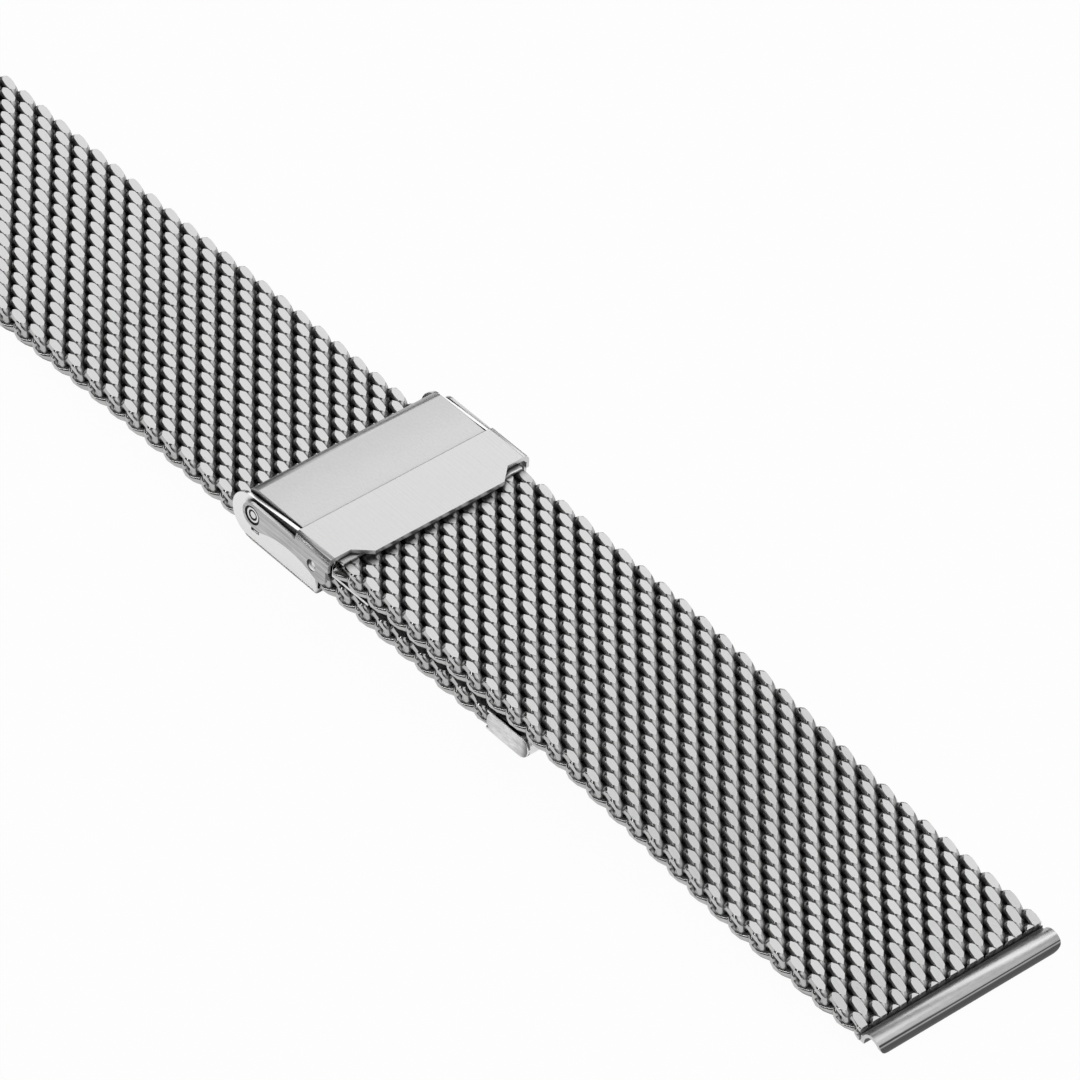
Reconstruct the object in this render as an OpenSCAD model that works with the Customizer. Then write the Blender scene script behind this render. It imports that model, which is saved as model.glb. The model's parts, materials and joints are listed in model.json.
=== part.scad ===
// Woven mesh watch bracelet with an adjustable slider clasp.
// X runs along the band towards the short strap's end, Y across it and Z up from the table.

/* [Mesh] */
// Width of the woven band
mesh_w = 19.6; // [16:0.2:24]
// Thickness of the woven band
mesh_t = 2; // [1.6:0.1:2.6]
// Rows of wire turns across the width
row_count = 19; // [13:2:25]
// Length that one turn takes along a row
bead_pitch = 2.43; // [2:0.01:3]
// Depth of the notch between two turns of a row
notch_depth = 0.5; // [0.3:0.05:0.6]
// Gap between neighbouring rows
row_gap = 0.06; // [0.04:0.01:0.12]
// Running gap round the knuckles where the band bends
knuckle_gap = 0.06; // [0.04:0.01:0.1]
// Thickness of the crossing wires inside the band
core_t = 0.9; // [0.6:0.1:1.2]

/* [Long strap] */
// Turns from the tail's end to the first bend line behind the clasp
tail_turns = 22; // [20:1:26]
// Turns between two bend lines of either strap
link_turns = 5; // [4:1:7]
// Turns from the last bend line to the end bar, on either strap
end_turns = 7; // [5:1:9]
// How far the tail's cap reaches beyond the hook bar
tail_reach = 25.6; // [24:0.2:28]

/* [Short strap] */
// Turns from the hook plate to the first bend line
hook_turns = 4; // [4:1:6]
// Downward slopes of the second, third and fourth lengths at rest, in degrees
slope_2 = 0.5; // [0:0.1:0.6]
slope_3 = 4.5; // [2:0.1:4.6]
slope_4 = 6.5; // [3:0.1:7]

/* [Slider] */
// Sheet of the slider's base
base_t = 0.4; // [0.3:0.05:0.5]
// Side play of the band in the base
side_play = 0.15; // [0.1:0.05:0.3]
// Distance from the hinge pin to the hook bar
bar_reach = 7.4; // [7:0.1:9]
// Radius of the hinge pin
pin_r = 0.6; // [0.5:0.05:0.7]
// Radius of the hook bar between the base's sides
bar_r = 0.55; // [0.5:0.05:0.6]
// Radius of the studs at the hook bar's ends
stud_r = 0.45; // [0.35:0.05:0.5]
// Radius of the rivet heads on the hinge pin
head_r = 0.85; // [0.7:0.05:0.9]
// Thickness of the rivet heads
head_t = 0.25; // [0.2:0.01:0.3]
// Radius of the hollow in each rivet head
hollow_r = 0.5; // [0.4:0.05:0.6]
// Depth of the hollow in each rivet head
hollow_depth = 0.2; // [0.1:0.05:0.3]
// Radius of the rear lobes
lobe_r = 2.2; // [2:0.1:2.3]
// Height of the slots under the arms' rear ends
slot_h = 0.7; // [0.4:0.1:0.8]
// Length of the slots under the arms' rear ends
slot_l = 1; // [0.6:0.1:1.2]
// How far the slots' lower edges lie below the hinge pin
slot_drop = 2.2; // [2:0.1:2.3]
// How far the slots reach behind the hinge pin
slot_back = 0.6; // [0.3:0.1:0.8]
// How far the middle of the rear lobes lies below the hinge pin
lobe_drop = 0.95; // [0.8:0.05:1.1]
// How far the middle of the rear lobes lies behind the hinge pin
lobe_back = 0.8; // [0.6:0.05:0.9]
// How far the base's floor begins behind the hinge pin
floor_back = 0.7; // [0.5:0.1:0.8]
// How far the base's floor reaches beyond the hook bar
floor_ahead = 0.05; // [0:0.05:0.3]
// Outer radius of the bends from floor to sides
base_bend = 0.6; // [0.45:0.05:0.8]
// Metal round the hook bar in the slider's sides
boss_wall = 0.45; // [0.3:0.05:0.6]
// How far the hinge pin's heads lie inside the arms' outer faces
head_inset = 0.05; // [0:0.05:0.1]

/* [Safety cover] */
// Sheet of the cover and its arms
cover_t = 0.4; // [0.35:0.05:0.5]
// Distance from the hinge pin to the line between flap and cover
joint_reach = 5.1; // [4.5:0.1:5.6]
// How far the cover's plate reaches beyond the hook bar
cover_reach = 2; // [1.8:0.1:2.6]
// How far the finger lip stands out of the cover's front edge
lip_reach = 1.3; // [0.8:0.1:1.8]
// Half width of the lip at its outer edge
lip_half = 6.9; // [5:0.1:7.5]
// How far each of the lip's sides splays towards the plate
lip_splay = 1.5; // [1:0.1:2]
// Outer radius of the arms' rear ends, which is also the arms' height above the pin
arm_r = 1.2; // [1.1:0.05:1.3]
// Radius of the long hollow curve under the arms
arm_curve_r = 8; // [7:0.1:9]
// Where the hollow curve under the arms is highest, from the hinge pin
arm_curve_x = 4.5; // [4:0.1:5]
// How far the top of that curve lies below the hinge pin
arm_curve_drop = 0.4; // [0.3:0.05:0.6]
// How far the arms reach below the hinge pin
arm_drop = 1.2; // [1.1:0.05:1.4]
// How far the arms stop short of the plate's front edge
arm_back = 0.25; // [0.1:0.05:0.4]
// Rounding of the arms' lower front corners
nose_r = 0.6; // [0.3:0.1:0.8]
// Outer radius of the bends from plate to arm
cover_bend = 0.7; // [0.5:0.05:0.9]
// How far the studs reach into the arms' holes
stud_reach = 0.26; // [0.2:0.01:0.35]
// Depth of the groove along the inside of each arm that a stud passes through
groove_depth = 0.3; // [0.27:0.01:0.36]
// Radial gap round the studs
stud_gap = 0.1; // [0.05:0.01:0.15]

/* [Lock flap] */
// Sheet of the flap
flap_t = 0.4; // [0.3:0.05:0.5]
// Outer radius of the flap's roll round the hinge pin
roll_r = 1.1; // [1:0.05:1.3]
// Outer radius of the flap's rear bend
flap_bend = 1.3; // [1.1:0.05:1.4]
// How far the middle of that bend lies behind the hinge pin
bend_back = 0.5; // [0.4:0.05:0.6]
// Angle that the sheet turns through in that bend
bend_turn = 46; // [40:1:48]
// Gap between the flap and each side of the base
flap_side = 0.15; // [0.1:0.05:0.2]

/* [Hook plate] */
// Sheet of the hook plate
plate_t = 0.25; // [0.2:0.05:0.3]
// Sheet of the hook itself
hook_t = 0.3; // [0.25:0.05:0.4]
// Length of the plate's upper leaf
upper_leaf = 1; // [0.6:0.1:1.4]
// Length of the plate's lower leaf
lower_leaf = 4.2; // [3:0.1:5]
// How far the hook plate's sides stand in from the band's
plate_side = 0.2; // [0.1:0.05:0.5]
// Room between the hook's curve and the plate's upright wall
hook_step = 0.35; // [0.25:0.05:0.5]
// How far the hook's lip reaches below the middle of the bar
hook_lip = 0.2; // [0.1:0.05:0.4]

/* [Tail cap] */
// Sheet of the tail cap
cap_t = 0.25; // [0.2:0.05:0.3]
// Length of the cap's leaves along the band
cap_leaf = 4; // [3:0.1:5]
// Thickness of the band where it is pressed in the cap or the hook plate
pressed_t = 1.5; // [1.3:0.1:1.6]
// Length over which the band thins to that
press_run = 1.2; // [0.8:0.1:2]

/* [End bars] */
// Radius of the channel for the spring bar
channel_r = 0.76; // [0.6:0.01:0.9]
// Sheet of the end bars
bar_t = 0.3; // [0.25:0.05:0.4]
// How far the end bars' ends stand in from the band's sides
bar_side = 0.1; // [0:0.05:0.3]
// Height of the end bars
bar_h = 1.36; // [1.2:0.02:1.5]
// Rounding of the end bars' lower front corners
bar_corner = 1; // [0.5:0.1:1.2]
// Length over which the band thins to the end bars' height
bar_press_run = 4.5; // [3:0.1:6]

/* [Fits] */
// Share of a sheet's thickness by which a bend is tighter inside than outside
bend_share = 0.75; // [0.6:0.05:0.9]
// Gap between two plates that slide past each other
plate_gap = 0.05; // [0.04:0.01:0.1]
// Radial gap of a turning piece on its pin
pin_gap = 0.05; // [0.03:0.01:0.08]
// Gap between two pieces that are fastened together
seat_gap = 0.02; // [0.01:0.01:0.03]
// Gap between the lower band and the plate of the upper one
stack_gap = 0.13; // [0.1:0.01:0.2]
// Gap under the closed cover
cover_gap = 0.15; // [0.1:0.01:0.2]

/* [Hidden] */
$fn = 48;
over = 1;

// Mesh
row_pitch = mesh_w / row_count;
row_w = row_pitch - row_gap;
half_t = mesh_t / 2;
crown_r = (pow(bead_pitch / 2, 2) + pow(notch_depth, 2)) / (2 * notch_depth);
knuckle_r = half_t - crown_r + sqrt(pow(crown_r, 2) - pow(bead_pitch / 4, 2));
socket_r = knuckle_r + knuckle_gap;
no_press = [half_t, 0, over];
cap_press = [pressed_t / 2, cap_leaf + bead_pitch / 4, press_run];
hook_press = [pressed_t / 2, upper_leaf + bead_pitch / 4, press_run];
bar_press = [bar_h / 2, bar_t, bar_press_run];

// Heights above the table
long_z = base_t + plate_gap + half_t;
long_top = long_z + half_t;
pin_z = long_top + plate_gap + roll_r;
hook_in_r = bar_r + pin_gap;
hook_out_r = hook_in_r + hook_t;
bar_z = long_top + stack_gap + plate_gap + hook_out_r;
short_z = long_top + stack_gap + plate_t + seat_gap + half_t;
cover_under = short_z + half_t + cover_gap;
cover_top = cover_under + cover_t;
flap_top = cover_top - plate_gap;
wall_top = flap_top - plate_gap;
arm_top = pin_z + arm_r;
side_top = cover_under - cover_bend + bend_share * cover_t;

// Widths
base_inner = mesh_w + 2 * side_play;
base_outer = base_inner + 2 * base_t;
flap_w = base_inner - 2 * flap_side;
cover_inner = base_outer + 2 * plate_gap;
cover_outer = cover_inner + 2 * cover_t;
stud_tip = cover_inner / 2 + stud_reach;
pin_l = cover_outer - 2 * head_inset;
plate_w = mesh_w - 2 * plate_side;
bar_w = mesh_w - 2 * bar_side;

// Clasp along X, from the hinge pin
joint_r = sqrt(pow(joint_reach, 2) + pow((flap_top + cover_under) / 2 - pin_z, 2));
base_l = floor_back + bar_reach + floor_ahead;
arm_front = bar_reach + cover_reach - arm_back;
plate_front = bar_reach + cover_reach;
boss_r = bar_r + boss_wall;
hook_wall_x = bar_reach + hook_out_r + hook_step;
short_start = hook_wall_x + plate_t + seat_gap;

// Straps, as bend points [x, z] on the band's middle plane
link_l = link_turns * bead_pitch;
end_l = end_turns * bead_pitch;
tail_l = tail_turns * bead_pitch;
cap_nose = pressed_t / 2 + seat_gap + cap_t;
tail_end = bar_reach + tail_reach - cap_nose;
function along(p, l, slope) = p + l * [cos(slope), -sin(slope)];
drop_slope = asin((long_z - half_t) / link_l);
long_1 = [tail_end - tail_l, long_z];
long_2 = along(long_1, -link_l, -drop_slope);
long_3 = long_2 - [link_l, 0];
long_4 = long_3 - [link_l, 0];
long_5 = long_4 - [link_l, 0];
long_end = long_5 - [end_l, 0];
short_0 = [short_start, short_z];
short_1 = along(short_0, hook_turns * bead_pitch, 0);
short_2 = along(short_1, link_l, slope_2);
short_3 = along(short_2, link_l, slope_3);
short_4 = along(short_3, link_l, slope_4);
end_slope = asin((short_4.y - half_t) / end_l);
short_end = along(short_4, end_l, end_slope);
frame_x = -(long_end.x + short_end.x) / 2;

// Puts a piece drawn from the hinge pin's X into the bracelet's own frame
module in_frame() translate([frame_x, 0, 0]) children();

// Stands a side outline, drawn as X and Z, across the band
module across(width)
    rotate([90, 0, 0]) translate([0, 0, -width / 2]) linear_extrude(width) children();

// A hole or rod across the band
module cross_rod(r, width, x, z)
    translate([x, 0, z]) rotate([90, 0, 0]) cylinder(r = r, h = width, center = true);

// A square with its two lower corners rounded, open or cut off at the top
module trough_outline(width, height, r) {
    translate([-width / 2, r]) square([width, height - r]);
    translate([-width / 2 + r, 0]) square([width - 2 * r, height]);
    for (side = [-1, 1]) translate([side * (width / 2 - r), r]) circle(r);
}

// Folded sheet seen along the band: a floor with a wall up each side
module folded_sheet(width, height, sheet, bend) {
    difference() {
        trough_outline(width, height, bend);
        translate([0, sheet]) trough_outline(width - 2 * sheet, height + over, bend - bend_share * sheet);
    }
}

// Half thickness of the mesh at a distance from an end that is pressed thinner
function pressed(press, distance) =
    min(half_t, press[0] + max(0, distance - press[1]) * (half_t - press[0]) / press[2]);

// The rounded tops of a row's turns, as one outline
module crowns(first, beads, length, press_start, press_end) {
    for (turn = [-1 : beads])
        let (x = first + turn * bead_pitch,
             top = min(pressed(press_start, x), pressed(press_end, length - x)))
            translate([x, top - crown_r]) circle(crown_r);
}

// Side outline of one row. At a bend line a row ends in a knuckle, or in the hollow
// that takes the next length's knuckle
module row_outline(beads, knuckle_first, bend_start, bend_end, top_press, under_press) {
    length = beads * bead_pitch;
    first = bead_pitch * (knuckle_first ? 1 : 3) / 4;
    from = bend_start && !knuckle_first ? bead_pitch / 4 : 0;
    to = length - (bend_end && knuckle_first ? bead_pitch / 4 : 0);
    difference() {
        union() {
            intersection() {
                crowns(first, beads, length, top_press[0], top_press[1]);
                mirror([0, 1]) crowns(first, beads, length, under_press[0], under_press[1]);
                translate([from, -mesh_t]) square([to - from, 2 * mesh_t]);
            }
            if (bend_start && knuckle_first) circle(knuckle_r);
            if (bend_end && !knuckle_first) translate([length, 0]) circle(knuckle_r);
        }
        if (bend_start && !knuckle_first) circle(socket_r);
        if (bend_end && knuckle_first) translate([length, 0]) circle(socket_r);
    }
}

// A length of mesh: rows of turns side by side, each half a turn out of step with the next
module mesh_length(beads, bend_start, bend_end, top_press, under_press) {
    length = beads * bead_pitch;
    core_from = bend_start ? socket_r : 0;
    core_to = length - (bend_end ? socket_r : 0);
    translate([core_from, (row_pitch - mesh_w) / 2, -core_t / 2])
        cube([core_to - core_from, mesh_w - row_pitch, core_t]);
    for (row = [0 : row_count - 1])
        translate([0, (row - (row_count - 1) / 2) * row_pitch, 0])
            across(row_w) row_outline(beads, row % 2 == 1, bend_start, bend_end, top_press, under_press);
}

// Lays a length of mesh from a bend point, sloping down towards +X
module lay(point, slope) in_frame() translate([point.x, 0, point.y]) rotate([0, slope, 0]) children();

module link(point, slope) {
    color("silver") lay(point, slope)
        mesh_length(link_turns, true, true, [no_press, no_press], [no_press, no_press]);
}

module long_mesh_1() {
    color("silver") lay(long_1, 0)
        mesh_length(tail_turns, true, false, [no_press, cap_press], [no_press, cap_press]);
}

module long_mesh_2() link(long_2, -drop_slope);
module long_mesh_3() link(long_3, 0);
module long_mesh_4() link(long_4, 0);
module long_mesh_5() link(long_5, 0);

module long_mesh_6() {
    color("silver") lay(long_end, 0)
        mesh_length(end_turns, false, true, [bar_press, no_press], [bar_press, no_press]);
}

module short_mesh_1() {
    color("silver") lay(short_0, 0)
        mesh_length(hook_turns, false, true, [hook_press, no_press], [no_press, no_press]);
}

module short_mesh_2() link(short_1, slope_2);
module short_mesh_3() link(short_2, slope_3);
module short_mesh_4() link(short_3, slope_4);

module short_mesh_5() {
    color("silver") lay(short_4, end_slope)
        mesh_length(end_turns, true, false, [no_press, bar_press], [no_press, bar_press]);
}

// Sheet bent round a spring bar, open below, with a flat web against the mesh
module end_bar() {
    out_r = channel_r + bar_t;
    centre = [seat_gap + bar_t / 2 + out_r, bar_h / 2 - out_r];
    difference() {
        across(bar_w) difference() {
            intersection() {
                union() {
                    translate(centre) circle(out_r);
                    translate([seat_gap, -bar_h / 2]) square([bar_t, bar_h / 2]);
                }
                translate([0, -bar_h / 2]) square([2 * out_r + bar_t, bar_h]);
            }
            translate(centre) circle(channel_r);
            translate([centre.x - channel_r, -bar_h]) square([2 * channel_r, bar_h + centre.y]);
        }
        for (side = [-1, 1])
            translate([centre.x, side * (bar_w / 2 - bar_corner), -bar_h / 2 + bar_corner])
                rotate([90, 0, 90]) linear_extrude(2 * out_r) difference() {
                    translate([side > 0 ? 0 : -bar_corner - over, -bar_corner - over])
                        square(bar_corner + over);
                    circle(bar_corner);
                }
    }
}

module end_bar_short() color("gainsboro") lay(short_end, end_slope) end_bar();
module end_bar_long() color("gainsboro") lay(long_end, 0) mirror([1, 0, 0]) end_bar();

// Sheet folded over the pressed end of the tail
module tail_cap() {
    inner = pressed_t / 2 + seat_gap;
    color("whitesmoke") lay([tail_end, long_z], 0)
        across(mesh_w) difference() {
            union() {
                circle(inner + cap_t);
                translate([-cap_leaf, -inner - cap_t]) square([cap_leaf, 2 * (inner + cap_t)]);
            }
            circle(inner);
            translate([-cap_leaf - over, -inner]) square([cap_leaf + over, 2 * inner]);
        }
}

// Side outline of the slider's base, from the hinge pin's X
module base_side() {
    mid = pin_z - lobe_drop;
    intersection() {
        union() {
            translate([-floor_back, 0]) square([base_l, side_top]);
            translate([-lobe_back, mid]) circle(lobe_r);
            polygon([
                [-lobe_back, mid], [joint_reach, mid],
                [joint_reach, wall_top], [-lobe_back, mid + lobe_r]
            ]);
        }
        union() {
            translate([0, pin_z]) circle(joint_r - plate_gap);
            translate([-floor_back, 0]) square([base_l, side_top]);
        }
    }
    translate([bar_reach, bar_z]) circle(boss_r);
}

module slider_base() {
    color("gainsboro") in_frame() difference() {
        intersection() {
            translate([-lobe_back - lobe_r - over, 0, 0]) rotate([90, 0, 90])
                linear_extrude(bar_reach + 2 * lobe_r + 2 * over)
                    folded_sheet(base_outer, cover_top + over, base_t, base_bend);
            across(base_outer) base_side();
        }
        cross_rod(pin_r + seat_gap, base_outer + over, 0, pin_z);
        cross_rod(stud_r + seat_gap, base_outer + over, bar_reach, bar_z);
        translate([-slot_back, -base_outer, pin_z - slot_drop]) cube([slot_l, 2 * base_outer, slot_h]);
    }
}

// Bar across the slider's front, whose domed ends are the studs that the cover snaps over
module hook_bar() {
    dome_r = 2 * stud_r;
    color("whitesmoke") in_frame() {
        cross_rod(bar_r, base_inner - 2 * plate_gap, bar_reach, bar_z);
        intersection() {
            cross_rod(stud_r, 2 * stud_tip, bar_reach, bar_z);
            union() {
                cross_rod(bar_r + over, base_outer, bar_reach, bar_z);
                for (side = [-1, 1])
                    translate([bar_reach, side * (stud_tip - dome_r), bar_z]) sphere(dome_r);
            }
        }
    }
}

// Discs of one thickness at both ends of a rod of the hinge pin's length, with room round them
module pin_ends(r, depth, room) difference() {
    cross_rod(r, pin_l + 2 * room, 0, pin_z);
    cross_rod(r + over, pin_l - 2 * depth, 0, pin_z);
}

// Hinge of the flap and the cover, riveted over a hollow at both ends
module hinge_pin() {
    color("whitesmoke") in_frame() difference() {
        union() {
            cross_rod(pin_r, pin_l, 0, pin_z);
            pin_ends(head_r, head_t, 0);
        }
        pin_ends(hollow_r, hollow_depth, over);
    }
}

// Rear plate of the clasp, rolled round the pin as a cam that grips the mesh when it lies flat
module lock_flap() {
    bend_z = flap_top - flap_bend;
    sheet_r = flap_bend - flap_t / 2;
    side_r = 2 * flap_bend;
    tip = [-bend_back - sheet_r * sin(bend_turn), bend_z + sheet_r * cos(bend_turn)];
    foot = [flap_t / 2 - roll_r, pin_z];
    color("silver") in_frame() across(flap_w) difference() {
        intersection() {
            union() {
                translate([0, pin_z]) circle(roll_r);
                translate([-bend_back, flap_top - flap_t]) square([joint_reach + bend_back, flap_t]);
                translate([-bend_back, bend_z]) intersection() {
                    difference() {
                        circle(flap_bend);
                        circle(flap_bend - flap_t);
                    }
                    polygon([[0, 0], [0, side_r], [-side_r * sin(bend_turn), side_r * cos(bend_turn)]]);
                }
                translate(tip) circle(flap_t / 2);
                translate(tip) rotate(atan2(foot.y - tip.y, foot.x - tip.x))
                    translate([0, -flap_t / 2]) square([norm(foot - tip), flap_t]);
            }
            translate([0, pin_z]) circle(joint_r);
        }
        translate([0, pin_z]) circle(pin_r + pin_gap);
    }
}

// Side outline of the safety cover and its arms
module cover_side() {
    arm_low = pin_z - arm_drop;
    difference() {
        union() {
            translate([0, pin_z]) circle(arm_r);
            translate([0, arm_low]) square([arm_front - nose_r, arm_top - arm_low]);
            translate([arm_front - nose_r - over, arm_low + nose_r])
                square([nose_r + over, cover_top - arm_low - nose_r]);
            translate([arm_front - nose_r, arm_low + nose_r]) circle(nose_r);
            translate([joint_reach - over, arm_top - over])
                square([plate_front - joint_reach + over, cover_top - arm_top + over]);
        }
        translate([arm_curve_x, pin_z - arm_curve_drop - arm_curve_r]) circle(arm_curve_r);
        translate([arm_front, arm_low]) square([over, cover_under - arm_low - over]);
        intersection() {
            translate([0, pin_z]) circle(joint_r + plate_gap);
            translate([-arm_r, arm_top]) square([plate_front, over]);
        }
    }
}

// The way that a stud takes along the inside of an arm as the cover opens
module stud_path() {
    half = stud_r + stud_gap;
    translate([0, pin_z]) intersection() {
        difference() {
            circle(bar_reach + half);
            circle(bar_reach - half);
        }
        translate([0, bar_z - pin_z - bar_reach]) square([2 * bar_reach, bar_reach]);
    }
}

module safety_cover() {
    color("gainsboro") in_frame() {
        difference() {
            intersection() {
                translate([-arm_r - over, 0, cover_top]) mirror([0, 0, 1]) rotate([90, 0, 90])
                    linear_extrude(plate_front + arm_r + 2 * over)
                        folded_sheet(cover_outer, cover_top, cover_t, cover_bend);
                across(cover_outer) cover_side();
            }
            cross_rod(joint_r + plate_gap, cover_inner, 0, pin_z);
            cross_rod(pin_r + pin_gap, cover_outer + over, 0, pin_z);
            cross_rod(stud_r + stud_gap, cover_outer + over, bar_reach, bar_z);
            pin_ends(head_r + pin_gap, head_t + pin_gap, over);
            across(cover_inner + 2 * groove_depth) stud_path();
        }
        translate([plate_front, 0, cover_under]) linear_extrude(cover_t)
            polygon([
                [0, -lip_half - lip_splay], [lip_reach, -lip_half],
                [lip_reach, lip_half], [0, lip_half + lip_splay]
            ]);
    }
}

// Sheet folded over the short strap's end, with a hook that hangs on the bar
module hook_plate() {
    leaf_z = short_z - half_t - seat_gap - plate_t;
    upper_z = short_z + pressed_t / 2 + seat_gap;
    leaf_x = hook_wall_x;
    color("whitesmoke") in_frame() across(plate_w) {
        translate([leaf_x, leaf_z]) square([plate_t + lower_leaf, plate_t]);
        translate([leaf_x, leaf_z]) square([plate_t, upper_z + plate_t - leaf_z]);
        translate([leaf_x, upper_z]) square([plate_t + upper_leaf, plate_t]);
        difference() {
            union() {
                translate([bar_reach, bar_z]) circle(hook_out_r);
                translate([bar_reach, bar_z + hook_in_r]) square([leaf_x - bar_reach + plate_t, hook_t]);
            }
            translate([bar_reach, bar_z]) circle(hook_in_r);
            translate([bar_reach - hook_out_r, bar_z - hook_out_r])
                square([hook_out_r, hook_out_r - hook_lip]);
            translate([bar_reach - hook_lip, bar_z - hook_out_r])
                square([hook_out_r + hook_lip, hook_out_r + hook_in_r]);
        }
    }
}

slider_base();
hook_bar();
hinge_pin();
lock_flap();
safety_cover();
long_mesh_1();
long_mesh_2();
long_mesh_3();
long_mesh_4();
long_mesh_5();
long_mesh_6();
tail_cap();
end_bar_long();
hook_plate();
short_mesh_1();
short_mesh_2();
short_mesh_3();
short_mesh_4();
short_mesh_5();
end_bar_short();
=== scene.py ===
import json
from math import copysign, cos, pi, radians, sin, sqrt

import bmesh
import bpy
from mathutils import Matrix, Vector


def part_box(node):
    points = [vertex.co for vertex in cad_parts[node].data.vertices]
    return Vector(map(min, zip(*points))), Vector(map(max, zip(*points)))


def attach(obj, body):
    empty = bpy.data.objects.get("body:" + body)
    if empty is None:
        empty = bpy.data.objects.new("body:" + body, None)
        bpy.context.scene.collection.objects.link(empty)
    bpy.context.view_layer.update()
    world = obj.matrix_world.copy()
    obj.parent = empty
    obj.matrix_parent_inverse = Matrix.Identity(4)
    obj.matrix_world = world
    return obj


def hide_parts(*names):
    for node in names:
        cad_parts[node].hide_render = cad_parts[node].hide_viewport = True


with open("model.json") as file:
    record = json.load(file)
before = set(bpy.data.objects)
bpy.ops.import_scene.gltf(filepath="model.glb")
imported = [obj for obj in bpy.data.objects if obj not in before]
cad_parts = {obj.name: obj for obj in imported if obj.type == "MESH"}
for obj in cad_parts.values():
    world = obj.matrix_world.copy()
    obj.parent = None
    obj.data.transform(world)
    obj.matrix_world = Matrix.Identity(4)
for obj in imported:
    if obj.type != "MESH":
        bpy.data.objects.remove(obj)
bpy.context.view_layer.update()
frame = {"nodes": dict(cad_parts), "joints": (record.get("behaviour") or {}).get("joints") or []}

# Camera
# A long lens looks down at the bracelet from its front right, about 40 degrees above the table, as a
# catalogue photographer's does, so that the band runs from the upper left to the lower right.
lens = bpy.data.cameras.new("camera")
lens.lens = 310.6
lens.sensor_width = 36
lens.clip_start, lens.clip_end = 0.01, 50
camera = bpy.data.objects.new("camera", lens)
camera.location = (0.421438, -0.389468, 0.509197)
camera.rotation_euler = (radians(47.8395), radians(-3.8856), radians(48.6642))
bpy.context.collection.objects.link(camera)
bpy.context.scene.camera = camera
bpy.context.scene.view_settings.view_transform = "Standard"

# Table
# A sheet of white studio board, matt, on which the bracelet lies closed. It shows its full white where
# nothing shades it, also in the steel's reflections, and keeps the bracelet's soft shadow.
board_half = 1.6
# shares of the board's white that no shadow touches, seen straight and mirrored in the steel
white_seen = 0.96
white_mirrored = 0.65


def node_in(tree, kind, **settings):
    """A new node of one kind in a tree, with its settings made."""
    node = tree.nodes.new(kind)
    for name, value in settings.items():
        setattr(node, name, value)
    return node


board_paint = bpy.data.materials.new("white_board")
board_paint.use_nodes = True
tree = board_paint.node_tree
tree.nodes.clear()
ray = node_in(tree, "ShaderNodeLightPath")
mirrored = node_in(tree, "ShaderNodeMath", operation="ADD", use_clamp=True)
tree.links.new(ray.outputs["Is Glossy Ray"], mirrored.inputs[0])
tree.links.new(ray.outputs["Is Transmission Ray"], mirrored.inputs[1])
in_steel = node_in(tree, "ShaderNodeMath", operation="MULTIPLY")
in_steel.inputs[1].default_value = white_mirrored
tree.links.new(mirrored.outputs[0], in_steel.inputs[0])
unshaded = node_in(tree, "ShaderNodeMath", operation="MULTIPLY_ADD")
unshaded.inputs[1].default_value = white_seen
tree.links.new(ray.outputs["Is Camera Ray"], unshaded.inputs[0])
tree.links.new(in_steel.outputs[0], unshaded.inputs[2])
matt = node_in(tree, "ShaderNodeBsdfDiffuse")
matt.inputs["Color"].default_value = (1, 1, 1, 1)
glow = node_in(tree, "ShaderNodeEmission")
glow.inputs["Strength"].default_value = 1.0
mixed = node_in(tree, "ShaderNodeMixShader")
tree.links.new(unshaded.outputs[0], mixed.inputs[0])
tree.links.new(matt.outputs[0], mixed.inputs[1])
tree.links.new(glow.outputs[0], mixed.inputs[2])
tree.links.new(mixed.outputs[0], node_in(tree, "ShaderNodeOutputMaterial").inputs["Surface"])

bm = bmesh.new()
bmesh.ops.create_grid(bm, x_segments=2, y_segments=2, size=board_half)
mesh = bpy.data.meshes.new("table")
bm.to_mesh(mesh)
bm.free()
mesh.materials.append(board_paint)
table = bpy.data.objects.new("table", mesh)
bpy.context.collection.objects.link(table)

# Studio light
# One wide softbox stands behind the bracelet, where its flat tops mirror it into the lens, and a weaker one
# stands to the right. A narrow strip in front draws the fine bright line on every wire. The room is dark
# round the camera, so that the sides of the wires show dark.
lit_end = (0.62, 0.35, 0.7)
# how light the room is, from square to its lit end (0) to straight towards it (1)
room_shades = ((0.0, 0.04), (0.2, 0.08), (0.33, 0.2), (0.6, 0.36), (0.95, 0.65))
lamps_aim = Vector((0.02, 0, 0))


def grey(level):
    """A neutral colour."""
    return (level, level, level, 1)


def grey_ramp(tree, stops):
    """A ramp of greys through its stops of (position, level), lowest position first."""
    ramp = node_in(tree, "ShaderNodeValToRGB")
    for end, (position, level) in zip(ramp.color_ramp.elements, (stops[0], stops[-1])):
        end.position = position
        end.color = grey(level)
    for position, level in stops[1:-1]:
        ramp.color_ramp.elements.new(position).color = grey(level)
    return ramp


world = bpy.data.worlds.new("studio")
bpy.context.scene.world = world
world.use_nodes = True
tree = world.node_tree
tree.nodes.clear()
direction = node_in(tree, "ShaderNodeTexCoord")
towards_light = node_in(tree, "ShaderNodeVectorMath", operation="DOT_PRODUCT")
towards_light.inputs[1].default_value = lit_end
tree.links.new(direction.outputs["Generated"], towards_light.inputs[0])
room = grey_ramp(tree, room_shades)
tree.links.new(towards_light.outputs["Value"], room.inputs["Fac"])
sky = node_in(tree, "ShaderNodeBackground")
sky.inputs["Strength"].default_value = 1.0
tree.links.new(room.outputs["Color"], sky.inputs["Color"])
tree.links.new(sky.outputs[0], node_in(tree, "ShaderNodeOutputWorld").inputs["Surface"])


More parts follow.
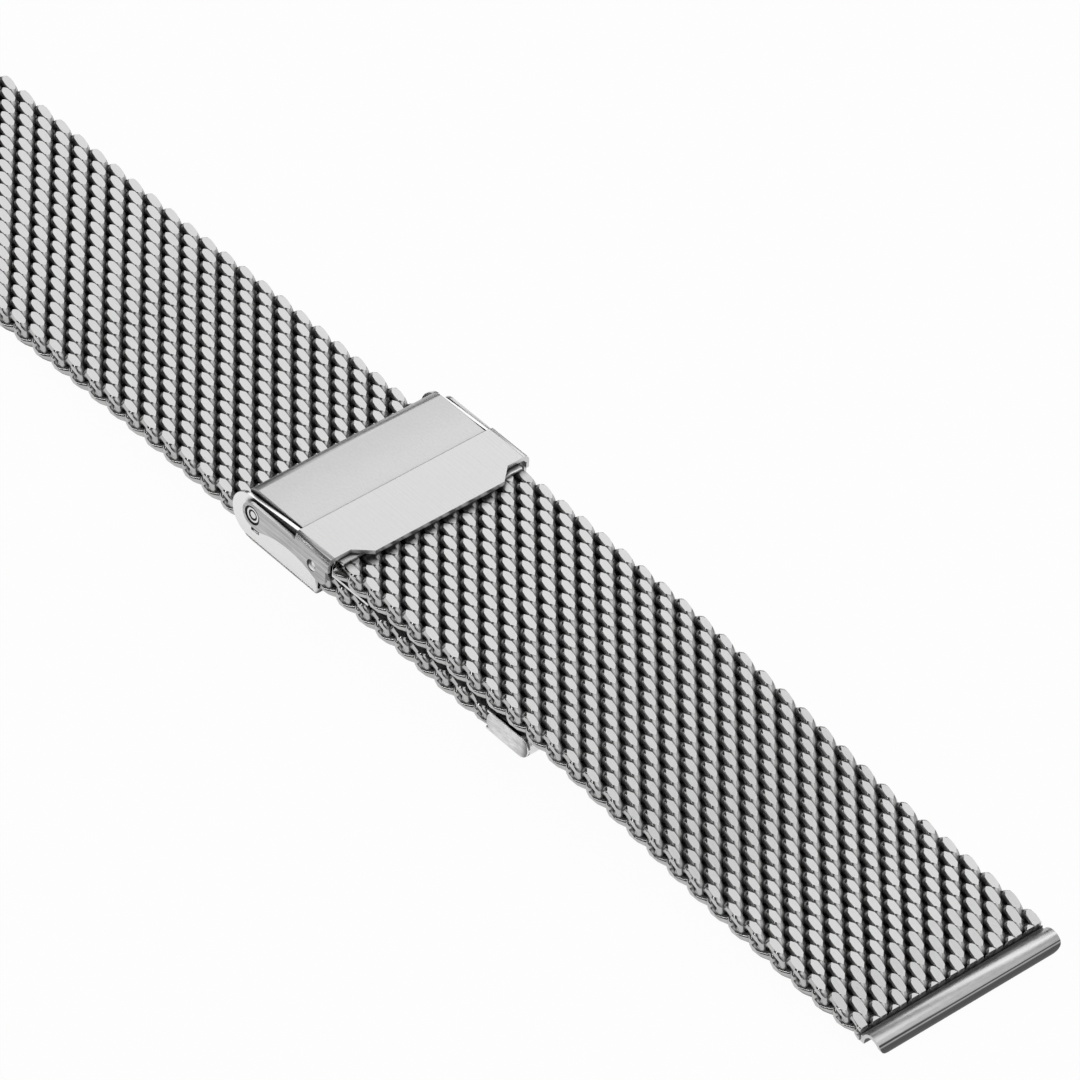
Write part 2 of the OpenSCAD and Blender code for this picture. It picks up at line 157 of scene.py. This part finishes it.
def softbox(name, azimuth, elevation, distance, wide, high, radiance):
    """A rectangular lamp that looks at the clasp. Azimuth 0 is in front of the band's near side, and 90 is
    beyond its short end."""
    lamp = bpy.data.lights.new(name, "AREA")
    lamp.shape = "RECTANGLE"
    lamp.size, lamp.size_y = wide, high
    lamp.energy = radiance * pi * wide * high
    box = bpy.data.objects.new(name, lamp)
    flat = cos(radians(elevation))
    away = Vector((sin(radians(azimuth)) * flat, -cos(radians(azimuth)) * flat, sin(radians(elevation))))
    box.location = lamps_aim + away * distance
    box.rotation_euler = away.to_track_quat("Z", "Y").to_euler()
    bpy.context.collection.objects.link(box)


softbox("softbox_behind", azimuth=217, elevation=38, distance=2.0, wide=2.1, high=1.15, radiance=1.12)
softbox("softbox_right", azimuth=60, elevation=65, distance=1.0, wide=1.0, high=1.0, radiance=0.5)
softbox("strip_light", azimuth=322, elevation=23, distance=1.2, wide=2.0, high=0.09, radiance=3.2)

# Woven bands
# Each band is woven from stainless wire: flat spirals lie across it, one every 1.215 mm, and each hooks into
# the one before, so that every second one has its turns in the same rows. Both faces are lapped flat
# afterwards, which leaves a bright, finely scratched facet on every turn.
turn = 0.00243
row_count = 19
row = 0.0196 / row_count
band_half = 0.001
wire_r = 0.00047
# how far from the band's middle its edges are ground, and how far out the middle of the wire may go
ground_edge = 0.0098
wire_edge = 0.0099 - wire_r
# the corners of the wire's section, closest on its flanks
around = [radians(angle) for angle in (0, 44, 76, 108, 180, 252, 284, 316)]
# seen from the band's edge, the middle of the wire runs round an oval, squarer than an ellipse
oval_reach = 0.00108
oval_rise = 0.00069
oval_power = 2.3
# shares of the reach at which a run over the top, or under the band, has its points
over = (-0.94, -0.66, -0.36, 0, 0.36, 0.66, 0.94)
under = (0.93, 0.66, 0, -0.66, -0.93)
# a run leans across the band by this much for each metre along it
lean = 0.48 * row / (1.86 * oval_reach)
# the wire's two cut ends turn back to this share of the rise, and lie this far from their row's middle
stub_share = 0.45
stub_y = 0.7 * row
# how far from the middle the turns are lapped: the nearer, the broader is the bright facet
narrow, medium, broad, broadest = 0.001, 0.00096, 0.00092, 0.00086
# where a band is pressed thinner: half its thickness there, how far from the end, and the run back to full
bar_press = (0.00068, 0.0003, 0.0045)
cap_press = (0.00075, 0.004 + turn / 4, 0.0012)
hook_press = (0.00075, 0.001 + turn / 4, 0.0012)
# a spiral this near to a bend leans into it
ease = 0.003


def group_of(name, inputs, outputs):
    """An empty node group with its inputs as (name, kind, value) and its outputs as (name, kind)."""
    group = bpy.data.node_groups.new(name, "ShaderNodeTree")
    for label, kind, value in inputs:
        socket = group.interface.new_socket(label, in_out="INPUT", socket_type=kind)
        if value is not None:
            socket.default_value = value
    for label, kind in outputs:
        group.interface.new_socket(label, in_out="OUTPUT", socket_type=kind)
    return group, node_in(group, "NodeGroupInput"), node_in(group, "NodeGroupOutput")


# fine lines that run along X, as brushing or the strokes of a lapping stone leave them
lines_group, given, put = group_of(
    "fine_lines",
    [("Point", "NodeSocketVector", None), ("Along", "NodeSocketFloat", 300.0),
     ("Across", "NodeSocketFloat", 9000.0)],
    [("Lines", "NodeSocketFloat")])
stretch = node_in(lines_group, "ShaderNodeCombineXYZ")
lines_group.links.new(given.outputs["Along"], stretch.inputs["X"])
lines_group.links.new(given.outputs["Across"], stretch.inputs["Y"])
lines_group.links.new(given.outputs["Across"], stretch.inputs["Z"])
scaled = node_in(lines_group, "ShaderNodeVectorMath", operation="MULTIPLY")
lines_group.links.new(given.outputs["Point"], scaled.inputs[0])
lines_group.links.new(stretch.outputs[0], scaled.inputs[1])
grain = node_in(lines_group, "ShaderNodeTexNoise")
grain.inputs["Scale"].default_value = 1.0
grain.inputs["Detail"].default_value = 5.0
grain.inputs["Roughness"].default_value = 0.62
lines_group.links.new(scaled.outputs[0], grain.inputs["Vector"])
lines_group.links.new(grain.outputs["Fac"], put.inputs["Lines"])

# slow patches of handling and polish, a few millimetres across
patch_group, given, put = group_of(
    "slow_patches",
    [("Point", "NodeSocketVector", None), ("Scale", "NodeSocketFloat", 300.0)],
    [("Patches", "NodeSocketFloat")])
cloud = node_in(patch_group, "ShaderNodeTexNoise")
cloud.inputs["Detail"].default_value = 3.0
patch_group.links.new(given.outputs["Point"], cloud.inputs["Vector"])
patch_group.links.new(given.outputs["Scale"], cloud.inputs["Scale"])
patch_group.links.new(cloud.outputs["Fac"], put.inputs["Patches"])


# a surface's wear is mixed from its lines and this share of patches, and mostly stays within this range
patch_share = 0.35
wear_range = (0.3, 0.7)
line_depth = 0.00001
# the colour of the painted shade in narrow gaps and crevices
painted_gap_colour = grey(0.05)


def remapped(tree, value, source, target=(0, 1), **settings):
    """A value with its source range stretched to a target range, and held there."""
    graded = node_in(tree, "ShaderNodeMapRange", **settings)
    graded.inputs["From Min"].default_value, graded.inputs["From Max"].default_value = source
    graded.inputs["To Min"].default_value, graded.inputs["To Max"].default_value = target
    tree.links.new(value, graded.inputs["Value"])
    return graded.outputs["Result"]


def multiplied(tree, colour, shade):
    """A colour multiplied by a shade."""
    product = node_in(tree, "ShaderNodeMix", data_type="RGBA", blend_type="MULTIPLY")
    product.inputs["Factor"].default_value = 1.0
    tree.links.new(colour, product.inputs["A"])
    tree.links.new(shade, product.inputs["B"])
    return product.outputs["Result"]


def steel(name, dark, light, rough, lines, bump, patches=300.0, spread=0.2, gap=0.0006, gap_shade_range=(0.12, 0.5),
          fade=None, facing_light=None):
    """A worked steel surface. Fine lines, so many a metre along X and across it, and slow patches vary its
    colour from dark to light and its roughness, and the lines its height. Gaps narrower than a width get a
    painted shade, dark and less metallic. A fade, as two places along X and a shade, leaves it darker at
    one end, and facing light paints shades and highlights by the way that it faces along X."""
    paint = bpy.data.materials.new(name)
    paint.use_nodes = True
    tree = paint.node_tree
    tree.nodes.clear()
    place = node_in(tree, "ShaderNodeTexCoord")
    scratches = node_in(tree, "ShaderNodeGroup", node_tree=lines_group)
    scratches.inputs["Along"].default_value, scratches.inputs["Across"].default_value = lines
    tree.links.new(place.outputs["Object"], scratches.inputs["Point"])
    handled = node_in(tree, "ShaderNodeGroup", node_tree=patch_group)
    handled.inputs["Scale"].default_value = patches
    tree.links.new(place.outputs["Object"], handled.inputs["Point"])
    both = node_in(tree, "ShaderNodeMix", data_type="FLOAT")
    both.inputs["Factor"].default_value = patch_share
    tree.links.new(scratches.outputs["Lines"], both.inputs["A"])
    tree.links.new(handled.outputs["Patches"], both.inputs["B"])
    wear = both.outputs["Result"]
    tint = node_in(tree, "ShaderNodeMix", data_type="RGBA")
    tint.inputs["A"].default_value = dark
    tint.inputs["B"].default_value = light
    tree.links.new(remapped(tree, wear, (0.5 - spread, 0.5 + spread)), tint.inputs["Factor"])
    colour = tint.outputs["Result"]
    if fade:
        along = node_in(tree, "ShaderNodeSeparateXYZ")
        tree.links.new(place.outputs["Object"], along.inputs[0])
        faded = remapped(tree, along.outputs["X"], fade[:2], (fade[2], 1), interpolation_type="SMOOTHSTEP")
        colour = multiplied(tree, colour, faded)
    # painted light: shades and highlights that follow the way the surface faces along X
    if facing_light:
        way, facing_shades = facing_light
        facing = node_in(tree, "ShaderNodeSeparateXYZ")
        tree.links.new(place.outputs["Normal"], facing.inputs[0])
        facing_light_ramp = grey_ramp(tree, facing_shades)
        tree.links.new(remapped(tree, facing.outputs["X"], (-way, way)), facing_light_ramp.inputs["Fac"])
        colour = multiplied(tree, colour, facing_light_ramp.outputs["Color"])
    # painted shade: within the gap width of other surfaces the colour turns dark and the steel less metallic
    open_sky = node_in(tree, "ShaderNodeAmbientOcclusion", samples=8)
    open_sky.inputs["Distance"].default_value = gap
    gap_openness = remapped(tree, open_sky.outputs["AO"], gap_shade_range)
    gap_shaded = node_in(tree, "ShaderNodeMix", data_type="RGBA")
    gap_shaded.inputs["A"].default_value = painted_gap_colour
    tree.links.new(gap_openness, gap_shaded.inputs["Factor"])
    tree.links.new(colour, gap_shaded.inputs["B"])
    raised = node_in(tree, "ShaderNodeBump")
    raised.inputs["Strength"].default_value = bump
    raised.inputs["Distance"].default_value = line_depth
    tree.links.new(scratches.outputs["Lines"], raised.inputs["Height"])
    skin = node_in(tree, "ShaderNodeBsdfPrincipled")
    tree.links.new(gap_openness, skin.inputs["Metallic"])
    tree.links.new(gap_shaded.outputs["Result"], skin.inputs["Base Color"])
    tree.links.new(remapped(tree, wear, wear_range, rough), skin.inputs["Roughness"])
    tree.links.new(raised.outputs["Normal"], skin.inputs["Normal"])
    tree.links.new(skin.outputs[0], node_in(tree, "ShaderNodeOutputMaterial").inputs["Surface"])
    return paint


drawn_wire = steel("drawn_wire", grey(0.48), (0.62, 0.62, 0.615, 1), rough=(0.10, 0.16), lines=(900, 4000),
                   bump=0.04, gap=0.0007, gap_shade_range=(0.3, 0.88))
lapped_wire = steel("lapped_wire", grey(0.58), grey(0.70), rough=(0.26, 0.36), lines=(500, 16000), bump=0.25,
                    patches=900.0)


def oval_run(shares, side):
    """Points (x, z) of one straight run over the top (1) or under the band (-1)."""
    points = []
    for x in (share * oval_reach for share in shares):
        points.append((x, side * oval_rise * (1 - (abs(x) / oval_reach) ** oval_power) ** (1 / oval_power)))
    return points


def spiral_line(first_side):
    """The middle of one spiral's wire, from the band's +Y edge to its -Y edge, with a cut end at each."""
    stub_x = oval_reach * (1 - stub_share ** oval_power) ** (1 / oval_power)
    stub_z = stub_share * oval_rise
    points = []
    for i in range(row_count):
        side = first_side * (1 if i % 2 == 0 else -1)
        middle_y = (row_count // 2 - i) * row
        if i == 0:
            points.append((-side * stub_x, middle_y + stub_y, -side * stub_z))
            points.append((-side * oval_reach, middle_y + row / 2, 0))
        for x, z in oval_run(over if side > 0 else under, side):
            points.append((x, middle_y - side * x * lean, z))
        points.append((side * oval_reach, middle_y - row / 2, 0))
    points.append((side * stub_x, middle_y - stub_y, -side * stub_z))
    return points


def wire_spiral(name, first_side, lapped):
    """One spiral across the band, starting with a run on the top (1) or the underside (-1), and lapped at a
    height above and below the middle."""
    line = spiral_line(first_side)
    bm = bmesh.new()
    ring = bmesh.ops.create_circle(bm, segments=len(around), radius=wire_r)["verts"]
    rings = [ring]
    for _ in line[1:]:
        rim = [bm.edges.get(pair) for pair in zip(ring, ring[1:] + ring[:1])]
        fresh = bmesh.ops.extrude_edge_only(bm, edges=rim)["geom"]
        ring = [next(e.other_vert(v) for e in v.link_edges if e.other_vert(v) in fresh) for v in ring]
        rings.append(ring)
    for i, (x, y, z) in enumerate(line):
        here = Vector((x, max(-wire_edge, min(wire_edge, y)), z))
        heading = (Vector(line[min(i + 1, len(line) - 1)]) - Vector(line[max(i - 1, 0)])).normalized()
        outward = Vector((copysign(abs(x / oval_reach) ** (oval_power - 1), x) / oval_reach, 0,
                          copysign(abs(z / oval_rise) ** (oval_power - 1), z) / oval_rise))
        outward = (outward - heading * outward.dot(heading)).normalized()
        aside = heading.cross(outward)
        for angle, v in zip(around, rings[i]):
            v.co = here + wire_r * (cos(angle) * outward + sin(angle) * aside)
    bmesh.ops.holes_fill(bm, edges=[e for e in bm.edges if e.is_boundary], sides=0)
    for plane in ((0, 0, lapped), (0, 0, -lapped), (0, ground_edge, 0), (0, -ground_edge, 0)):
        # lapping takes the top off every turn, and grinding evens the two edges
        bmesh.ops.bisect_plane(bm, geom=bm.verts[:] + bm.edges[:] + bm.faces[:], dist=1e-9, plane_co=plane,
                               plane_no=Vector(plane).normalized(), clear_outer=True)
        cut = bmesh.ops.holes_fill(bm, edges=[e for e in bm.edges if e.is_boundary], sides=0)["faces"]
        for f in cut:
            f.material_index = 1
    bmesh.ops.recalc_face_normals(bm, faces=bm.faces)
    for f in bm.faces:
        f.smooth = True
    for e in bm.edges:
        if any(f.material_index for f in e.link_faces):
            e.smooth = False
    mesh = bpy.data.meshes.new(name)
    bm.to_mesh(mesh)
    bm.free()
    return mesh


# of each two spirals, the first starts under the band and the second on its top
spirals = {}
for lapped in (narrow, medium, broad, broadest):
    under_first = wire_spiral("spiral_under_first", -1, lapped)
    top_first = wire_spiral("spiral_top_first", 1, lapped)
    spirals[lapped] = (under_first, top_first)

# the bend lines and the ends of the two bands at rest, as points (x, z) on the middle plane
bends = {}
for joint in frame["joints"]:
    if "bend" in joint["name"]:
        bends[joint["name"]] = Vector((joint["pos_m"][0], joint["pos_m"][2]))
long_line = [bends["long_bend_%d" % number] for number in (5, 4, 3, 2, 1)]
long_line.insert(0, Vector((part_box("long_mesh_6")[0][0], band_half)))
long_line.append(Vector((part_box("long_mesh_1")[1][0], long_line[-1].y)))
short_line = [bends["short_bend_%d" % number] for number in (1, 2, 3, 4)]
short_line.insert(0, Vector((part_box("short_mesh_1")[0][0], short_line[0].y)))
last_bend, last_turns = short_line[-1], 7
last_run = sqrt((last_turns * turn) ** 2 - (last_bend.y - band_half) ** 2)
short_line.append(Vector((last_bend.x + last_run, band_half)))


def on_line(line, s):
    """The point at a distance along a band's middle plane."""
    for near_end, far_end in zip(line, line[1:]):
        length = (far_end - near_end).length
        if s <= length or far_end == line[-1]:
            return near_end + (far_end - near_end) * (s / length)
        s -= length


def half_height(s, length, start_press, end_press):
    """Half the band's thickness at a distance along it."""
    found = band_half
    for press, away in ((start_press, s), (end_press, length - s)):
        if press:
            thin, keep, run = press
            found = min(found, thin + max(0, away - keep) * (band_half - thin) / run)
    return found


def weave(strap, number, line, turns, lapped, start_press=None, end_press=None, under_too=True, held=(0, 0)):
    """The spirals of one length of a band, lapped to each of some heights in turn. under_too says that its
    underside is pressed as its top is, and held counts the further spirals before and after them of which an
    end bar holds one half."""
    name = "wires_%s_%d" % (strap, number)
    node = "%s_mesh_%d" % (strap, number)
    body = "%s_strap_%d" % (strap, number)
    lengths = [(far_end - near_end).length for near_end, far_end in zip(line, line[1:])]
    total = sum(lengths)
    # the long line runs towards the clasp and the short one away from it, and both bands count from there
    passed = len(lengths) - number if strap == "long" else number - 1
    start = sum(lengths[:passed])
    bm = bmesh.new()
    for k in range(-held[0], 2 * turns + held[1]):
        s = start + turn / 4 + k * turn / 2
        nearby = [on_line(line, max(0, min(total, s + ease * t / 4))) for t in range(-4, 5)]
        centre = sum(nearby, Vector((0, 0))) / len(nearby)
        if s < ease or s > total - ease:
            centre = on_line(line, s)
        ahead = (nearby[-1] - nearby[0]).normalized()
        above = Vector((-ahead.y, ahead.x))
        lapped_at = lapped[max(0, min(2 * turns - 1, k)) * len(lapped) // (2 * turns)]
        before = len(bm.verts)
        bm.from_mesh(spirals[lapped_at][k % 2])
        bm.verts.ensure_lookup_table()
        for v in bm.verts[before:]:
            at = max(0.0, min(total, s + v.co.x))
            squeeze = half_height(at, total, start_press, end_press) / lapped_at
            z = v.co.z * (squeeze if v.co.z > 0 or under_too else 1)
            place = centre + ahead * (at - s) + above * z
            v.co = (place.x, v.co.y, place.y)
    mesh = bpy.data.meshes.new(name)
    bm.to_mesh(mesh)
    bm.free()
    mesh.materials.append(drawn_wire)
    mesh.materials.append(lapped_wire)
    band = bpy.data.objects.new(name, mesh)
    bpy.context.collection.objects.link(band)
    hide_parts(node)
    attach(band, body)


weave("long", 6, long_line, 7, (broadest,), start_press=bar_press, held=(1, 0))
weave("long", 5, long_line, 5, (broadest, broad))
weave("long", 4, long_line, 5, (broad,))
weave("long", 3, long_line, 5, (broad,))
weave("long", 2, long_line, 5, (broad, medium))
weave("long", 1, long_line, 22, (medium,), end_press=cap_press)
weave("short", 1, short_line, 4, (medium,), start_press=hook_press, under_too=False)
weave("short", 2, short_line, 5, (medium, narrow))
weave("short", 3, short_line, 5, (narrow,))
weave("short", 4, short_line, 5, (narrow,))
weave("short", 5, short_line, last_turns, (narrow, medium, broad), end_press=bar_press, held=(0, 1))

# Slider base
# The clasp's open base is blanked from 0.4 mm stainless sheet and folded up along both sides into walls,
# with round lobes at the rear that carry the hinge pin. Barrel polishing rounds its edges a little.
bright = steel("bright_sheet", grey(0.90), grey(0.96), rough=(0.16, 0.26), lines=(400, 6000), bump=0.08,
               gap=0.0005, gap_shade_range=(0.6, 0.9))
wall_built, wall_set = 0.01035, 0.01028
# corners this near are one, faces that turn by less than this are one flat, and places this near are the same
one_corner = 2e-6
one_flat = radians(0.5)
same_place = 0.00001
# a side faces across the band by more than this, and a flat has this many times the area of a bend's facet
side_facing = 0.8
flat_to_facet = 6
sharp_edge = radians(32)


def worked(name, node, body, paint, edge, shaded_side_paint=None, sheet=None):
    """A clasp piece in its CAD shape, with its flat faces whole and its edges broken. A shaded side paint, a
    painted shade, goes on the faces across the band. sheet moves the faces at one distance from the band's
    middle to another, as sprung sheet sits."""
    bm = bmesh.new()
    bm.from_mesh(frame["nodes"][node].data)
    bmesh.ops.remove_doubles(bm, verts=bm.verts, dist=one_corner)
    bmesh.ops.dissolve_limit(bm, angle_limit=one_flat, verts=bm.verts, edges=bm.edges,
                             use_dissolve_boundaries=False)
    for v in bm.verts:
        if sheet and abs(abs(v.co.y) - sheet[0]) < same_place:
            v.co.y = copysign(sheet[1], v.co.y)
    bmesh.ops.recalc_face_normals(bm, faces=bm.faces)
    for f in bm.faces:
        f.smooth = True
        f.material_index = 1 if shaded_side_paint and abs(f.normal.y) > side_facing else 0
    for e in bm.edges:
        areas = [f.calc_area() for f in e.link_faces]
        if len(areas) == 2 and max(areas) > flat_to_facet * min(areas):
            # a flat that runs into a bend keeps its own shading
            e.smooth = False
    mesh = bpy.data.meshes.new(name)
    bm.to_mesh(mesh)
    bm.free()
    mesh.materials.append(paint)
    if shaded_side_paint:
        mesh.materials.append(shaded_side_paint)
    piece = bpy.data.objects.new(name, mesh)
    bpy.context.collection.objects.link(piece)
    broken = piece.modifiers.new("broken_edges", "BEVEL")
    broken.width = edge
    broken.segments = 2
    broken.limit_method = "ANGLE"
    broken.angle_limit = sharp_edge
    broken.harden_normals = True
    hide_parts(node)
    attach(piece, body)
    return piece


worked("base", "slider_base", "slider", bright, 0.00007, sheet=(wall_built, wall_set))

# Hook bar and hinge pin
# Two turned stainless rods. The front one carries the short band's hook, and its domed ends are the studs
# that the cover snaps over. The rear one is the hinge of the flap and the cover, riveted in the base's lobes.
mirror = steel("mirror_steel", grey(0.76), grey(0.86), rough=(0.08, 0.14), lines=(900, 900), bump=0.02,
               gap=0.0004, gap_shade_range=(0.45, 0.8))
front_bar = worked("front_bar", "hook_bar", "slider", mirror, 0.00003)
rear_pin = worked("rear_pin", "hinge_pin", "slider", mirror, 0.00006)
# the riveting punch sinks both ends of the pin to here, and leaves a raised button inside a groove
punched_y = 0.01055
groove_wide = 0.00014
button_slope, button_high = 0.00002, 0.00017
bm = bmesh.new()
bm.from_mesh(rear_pin.data)
sunk = [f for f in bm.faces if abs(f.normal.y) > 0.95
        and abs(abs(f.calc_center_median().y) - punched_y) < same_place]
bmesh.ops.inset_individual(bm, faces=sunk, thickness=groove_wide, depth=0)
bmesh.ops.inset_individual(bm, faces=sunk, thickness=button_slope, depth=button_high)
bm.to_mesh(rear_pin.data)
bm.free()
outside_walls = 0.0102
slimmer = 0.84
for rod, node, rim in ((front_bar, "hook_bar", 0.0), (rear_pin, "hinge_pin", 0.0008)):
    # turned a little slimmer outside the walls, from the rim out, so that they stand clear of the arms
    low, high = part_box(node)
    x, z = (low[0] + high[0]) / 2, (low[2] + high[2]) / 2
    for v in rod.data.vertices:
        if abs(v.co.y) > outside_walls and sqrt((v.co.x - x) ** 2 + (v.co.z - z) ** 2) > rim:
            v.co.x, v.co.z = x + (v.co.x - x) * slimmer, z + (v.co.z - z) * slimmer

# Lock flap
# The rear plate of the clasp, 0.4 mm stainless with a fine satin finish, rolled round the hinge pin so that
# its roll grips the band when it lies flat.
# the fade is a painted shade, darker towards the flap's rolled rear edge
satin = steel("satin_sheet", grey(0.61), grey(0.73), rough=(0.30, 0.42), lines=(2500, 9000), bump=0.3,
              spread=0.12, gap_shade_range=(0.6, 0.97), fade=(0.0068, 0.0115, 0.92))
worked("flap", "lock_flap", "flap", satin, 0.00008)

# Safety cover
# The front plate, brushed along the band, with a spring arm folded down each side and a finger lip at its
# front edge. Its arms snap over the studs.
brushed = steel("brushed_sheet", grey(0.62), grey(0.76), rough=(0.26, 0.42), lines=(220, 9000), bump=0.5,
                spread=0.14, gap_shade_range=(0.6, 0.97))
# the arms' sides get a darker copy of the cover's brushed steel, a painted shade, with coarser brushing
arm_shaded_brushed = steel("brushed_arm_painted_shade", grey(0.40), grey(0.68), rough=(0.24, 0.4), lines=(160, 5500), bump=0.6,
                    spread=0.1)
arm_built, arm_set = 0.0104, 0.01052
worked("cover", "safety_cover", "cover", brushed, 0.0001, arm_shaded_brushed, (arm_built, arm_set))

# Hook plate
# Thin bright sheet folded over the short band's end and rolled into the hook that hangs on the front bar.
worked("hook", "hook_plate", "short_strap_1", bright, 0.00004)

# Tail cap
# Thin bright sheet folded over the pressed end of the long band and squeezed shut. A flap at each side is
# tucked in before the fold is squeezed. It is rubbed bright, with dirt left at its nose.
worked("cap", "tail_cap", "long_strap_1", bright, 0.00005)
cap_steel = steel("cap_sheet", grey(0.62), grey(0.94), rough=(0.18, 0.3), lines=(900, 2600), bump=0.3,
                  spread=0.1, fade=(0.04045, 0.0397, 0.3))
cap_low, cap_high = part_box("tail_cap")
deep, tall = cap_high[0] - cap_low[0], cap_high[2] - cap_low[2]
side_thick, side_y = 0.0004, 0.00962
flat_area = 0.000001
for name, side in (("cap_side_near", -1), ("cap_side_far", 1)):
    bm = bmesh.new()
    bmesh.ops.create_cube(bm, size=1)
    bmesh.ops.scale(bm, verts=bm.verts, vec=(deep, side_thick, tall))
    for way, rounding, segments in ((1, 0.49, 8), (-1, 0.45, 6)):
        # the nose is fully round, and the heel a little less
        corners = [e for e in bm.edges if all(v.co.x * way > 0 for v in e.verts)
                   and abs(e.verts[0].co.y - e.verts[1].co.y) > side_thick / 4]
        bmesh.ops.bevel(bm, geom=corners, offset=tall * rounding, segments=segments, profile=0.5,
                        affect="EDGES", material=-1)
    rims = [e for e in bm.edges if e.calc_face_angle(0) > sharp_edge]
    bmesh.ops.bevel(bm, geom=rims, offset=side_thick / 4, segments=2, profile=0.5, affect="EDGES",
                    material=-1)
    bmesh.ops.translate(bm, verts=bm.verts, vec=((cap_low[0] + cap_high[0]) / 2, side * side_y,
                                                 (cap_low[2] + cap_high[2]) / 2))
    bmesh.ops.recalc_face_normals(bm, faces=bm.faces)
    for f in bm.faces:
        f.smooth = f.calc_area() < flat_area
    mesh = bpy.data.meshes.new(name)
    bm.to_mesh(mesh)
    bm.free()
    mesh.materials.append(cap_steel)
    cap_side = bpy.data.objects.new(name, mesh)
    bpy.context.collection.objects.link(cap_side)
    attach(cap_side, "long_strap_1")

# End bars
# Sheet bent round the spring bar that holds the band between a watch's lugs, open below, brushed lengthwise.
# A painted dark line runs along its outer side, above a painted highlight on its lip; the side towards the
# band and the lowest outer side are painted dark.
# painted light round the bend, from the side towards the band (0) over the top (0.5) to the outer side (1)
lip_painted_light = ((0.0, 0.06), (0.04, 0.06), (0.07, 0.97), (0.87, 0.93), (0.89, 0.14), (0.915, 0.14),
              (0.935, 0.85), (0.955, 0.14), (1.0, 0.12))
for name, node, body, way in (("bar_of_long_band", "end_bar_long", "long_strap_6", -1),
                              ("bar_of_short_band", "end_bar_short", "short_strap_5", 1)):
    paint = steel("brushed_" + node, grey(0.66), grey(0.84), rough=(0.26, 0.42), lines=(7000, 1500), bump=0.4,
                  gap=0.0005, gap_shade_range=(0.35, 0.75), facing_light=(way, lip_painted_light))
    worked(name, node, body, paint, 0.00005)
